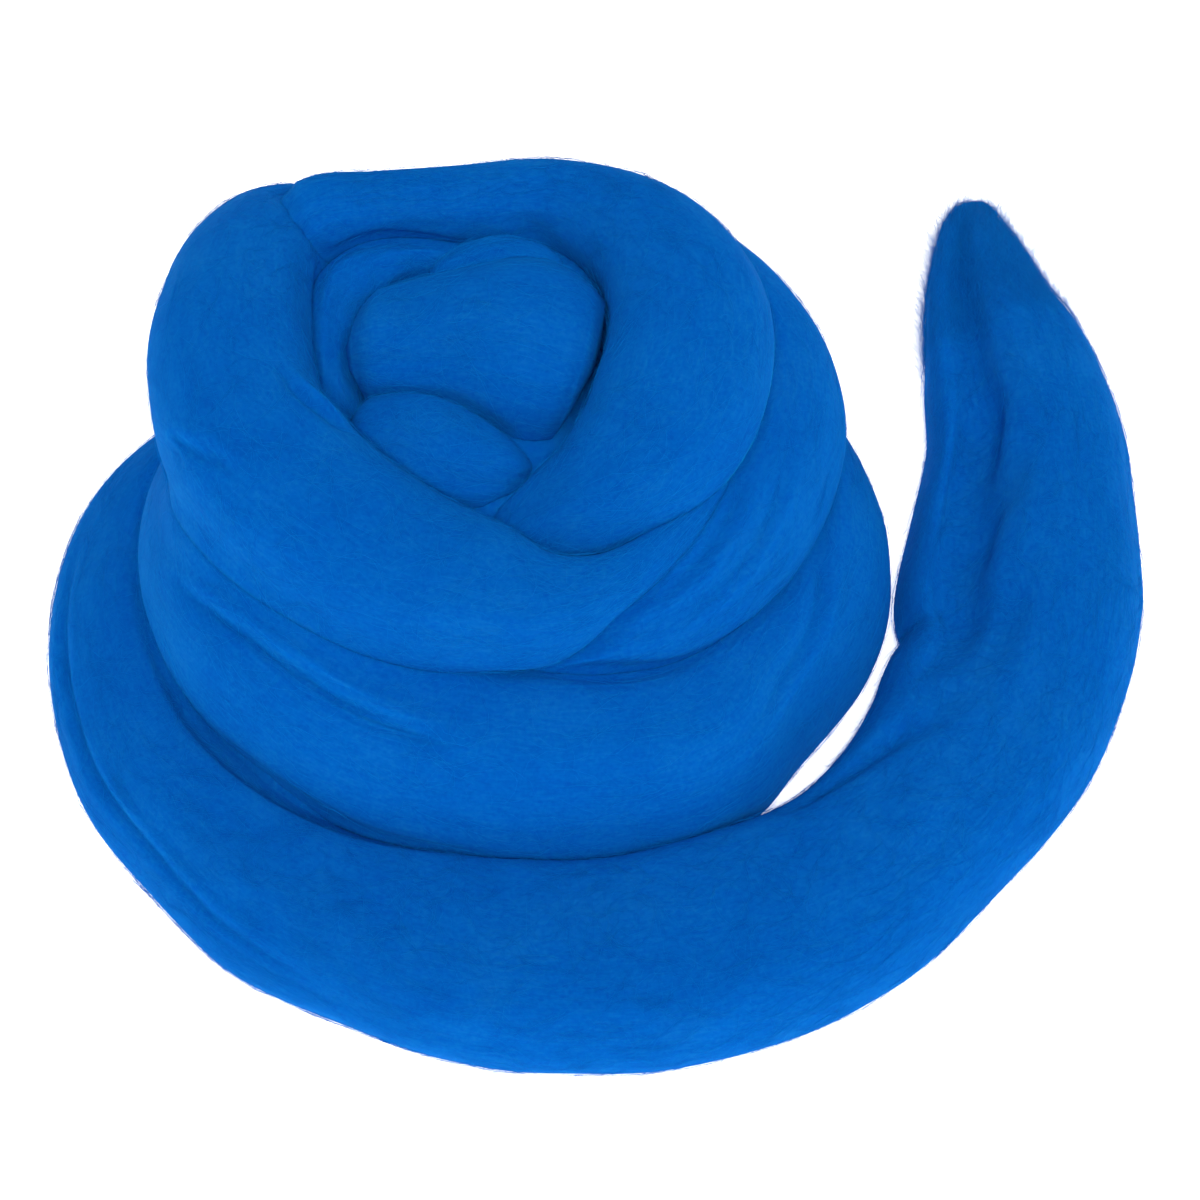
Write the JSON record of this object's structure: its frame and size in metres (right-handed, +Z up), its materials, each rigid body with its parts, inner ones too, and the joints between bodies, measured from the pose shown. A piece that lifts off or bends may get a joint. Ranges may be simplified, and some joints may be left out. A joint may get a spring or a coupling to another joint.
{
  "type": "wool roving",
  "caption": "Loosely wound mound of combed wool roving, its tapered loose end curling round the front and up the side.",
  "frame": {"origin": "middle of the mound's flat foot, on the surface that it rests on", "axes": "+X to the right, +Y away from the front, +Z up; the loose end curls round the -Y side and its tip points to +Y"},
  "size_m": [0.216, 0.2169, 0.0749],
  "materials": {
    "dyed_wool": "matte combed wool dyed deep sky blue, with fine fibres that lie along the sliver"
  },
  "bodies": {
    "root": {"wound_mound": "dyed_wool", "loose_end": "dyed_wool"}
  },
  "joints": []
}
